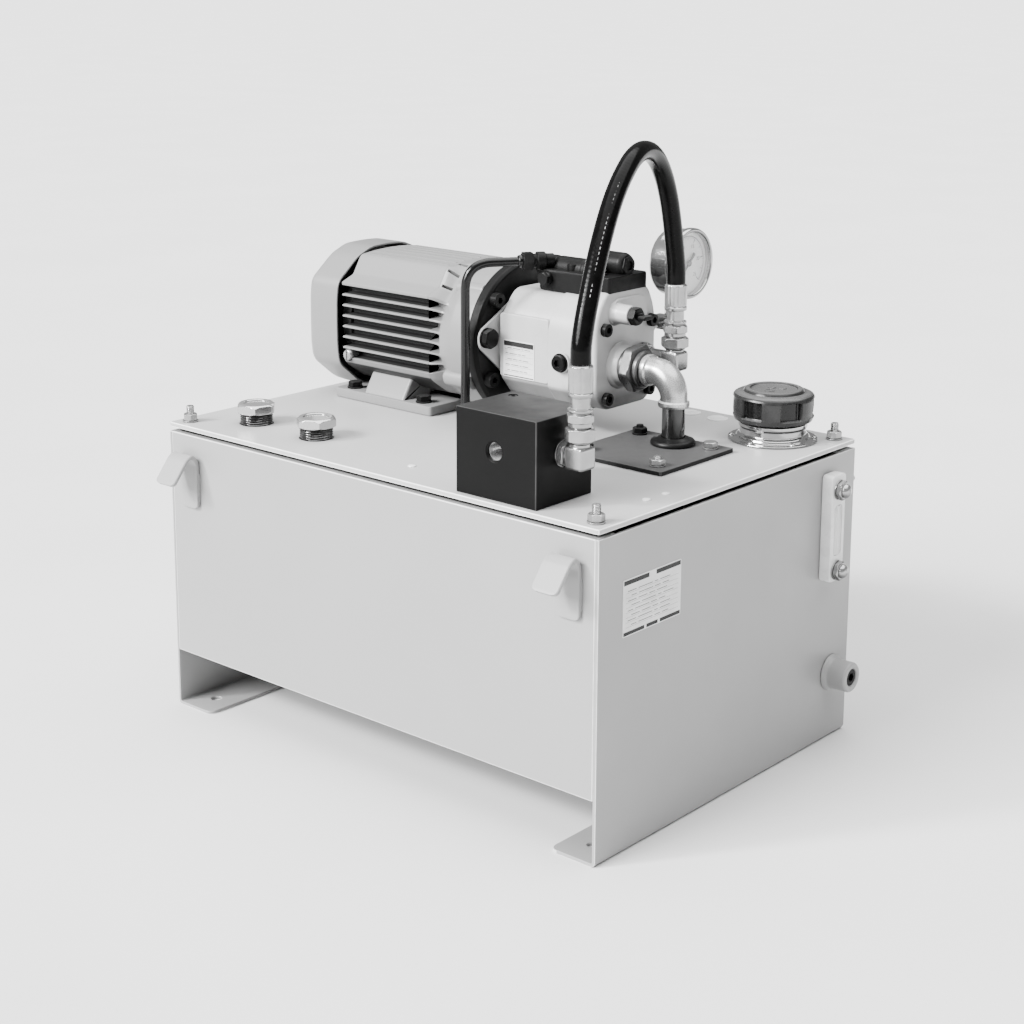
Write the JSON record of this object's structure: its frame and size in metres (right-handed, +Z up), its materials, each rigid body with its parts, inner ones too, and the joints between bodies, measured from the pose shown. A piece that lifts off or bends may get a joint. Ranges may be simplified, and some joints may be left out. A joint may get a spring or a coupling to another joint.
{
  "type": "hydraulic power unit",
  "caption": "Sheet-steel oil reservoir on folded feet carrying an electric motor, piston pump, delivery block with hose, suction line, filler breather, level gauge and drain.",
  "frame": {"origin": "centre of the bounding box's base, on the floor, measured without the hose", "axes": "+X along the tank's length towards the end with the level gauge and drain, +Y towards the back, +Z up"},
  "size_m": [0.575, 0.47, 0.5971],
  "materials": {
    "tank_paint": "satin light grey machine enamel over sheet steel",
    "lid_paint": "satin light grey machine enamel",
    "motor_paint": "light grey enamel on pressed steel and cast aluminium",
    "pump_paint": "off-white enamel over a fine sand casting",
    "zinc_plate": "bright zinc plating",
    "chrome_plate": "polished plating",
    "bare_steel": "bare machined steel",
    "black_oxide": "blackened steel",
    "dark_casting": "dark phosphated casting",
    "black_rubber": "glossy black rubber",
    "black_plastic": "glossy black moulded plastic",
    "clear_plastic": "clear acrylic",
    "dial_white": "white dial plate with black graduations",
    "pointer_black": "black lacquer",
    "strainer_mesh": "woven stainless gauze on a rolled frame"
  },
  "bodies": {
    "unit": {"back_panel": "tank_paint", "bottom_panel": "tank_paint", "case_drain_tube": "black_oxide", "control_valve": "dark_casting", "delivery_block": "black_oxide", "delivery_elbow": "zinc_plate", "delivery_hose": "black_rubber", "drain_boss": "tank_paint", "drain_plug": "black_oxide", "fan_cover": "motor_paint", "filler_neck": "chrome_plate", "filler_strainer": "strainer_mesh", "front_panel": "tank_paint", "hose_end_block": "zinc_plate", "hose_end_pump": "zinc_plate", "left_end_plate": "tank_paint", "level_gauge_body": "clear_plastic", "level_gauge_bolt_lower": "zinc_plate", "level_gauge_bolt_upper": "zinc_plate", "level_gauge_tube": "clear_plastic", "lid": "lid_paint", "lid_gasket": "black_rubber", "lid_nut_back_left": "zinc_plate", "lid_nut_back_right": "zinc_plate", "lid_nut_front_left": "zinc_plate", "lid_nut_front_right": "zinc_plate", "lifting_hook_back_left": "tank_paint", "lifting_hook_back_right": "tank_paint", "lifting_hook_front_left": "tank_paint", "lifting_hook_front_right": "tank_paint", "motor_bolt_back_drive_end": "black_oxide", "motor_bolt_back_rear_end": "black_oxide", "motor_bolt_front_drive_end": "black_oxide", "motor_bolt_front_rear_end": "black_oxide", "motor_end_bracket": "motor_paint", "motor_frame": "motor_paint", "pressure_gauge_case": "chrome_plate", "pressure_gauge_dial": "dial_white", "pressure_lock_nut": "black_oxide", "pump_body": "pump_paint", "pump_end_cover": "pump_paint", "pump_mounting_flange": "dark_casting", "pump_outlet_elbow": "zinc_plate", "return_port_plug_1": "chrome_plate", "return_port_plug_2": "chrome_plate", "right_end_plate": "tank_paint", "stator_core": "bare_steel", "suction_elbow": "bare_steel", "suction_pipe": "black_oxide", "suction_pipe_grommet": "black_rubber", "suction_plate": "black_oxide", "suction_strainer": "strainer_mesh", "suction_union_nut": "dark_casting"},
    "rotor": {"rotor_shaft": "bare_steel", "cooling_fan": "black_plastic", "cylinder_barrel": "bare_steel"},
    "cap_seal": {"filler_cap_seal": "black_rubber"},
    "cap": {"filler_cap": "black_plastic"},
    "needle": {"pressure_gauge_needle": "pointer_black"},
    "adjuster": {"pressure_adjusting_screw": "black_oxide"}
  },
  "joints": [
    {"name": "rotor_spin", "type": "hinge", "parent": "unit", "child": "rotor", "pos_m": [-0.0515, 0.062, 0.38], "axis": [1, 0, 0], "continuous": true},
    {"name": "cap_lift", "type": "slide", "parent": "unit", "child": "cap_seal", "axis": [0, 0, 1], "range_m": [0, 0.06]},
    {"name": "cap_turn", "type": "hinge", "parent": "cap_seal", "child": "cap", "pos_m": [0.2015, 0.147, 0.335], "axis": [0, 0, 1], "range_deg": [0, 60]},
    {"name": "needle_turn", "type": "hinge", "parent": "unit", "child": "needle", "pos_m": [0.1085, 0.131, 0.464], "axis": [-1, 0, 0], "range_deg": [0, 270]},
    {"name": "screw_turn", "type": "hinge", "parent": "unit", "child": "adjuster", "pos_m": [0.1175, 0.043, 0.424], "axis": [1, 0, 0], "range_deg": [-360, 360]}
  ]
}
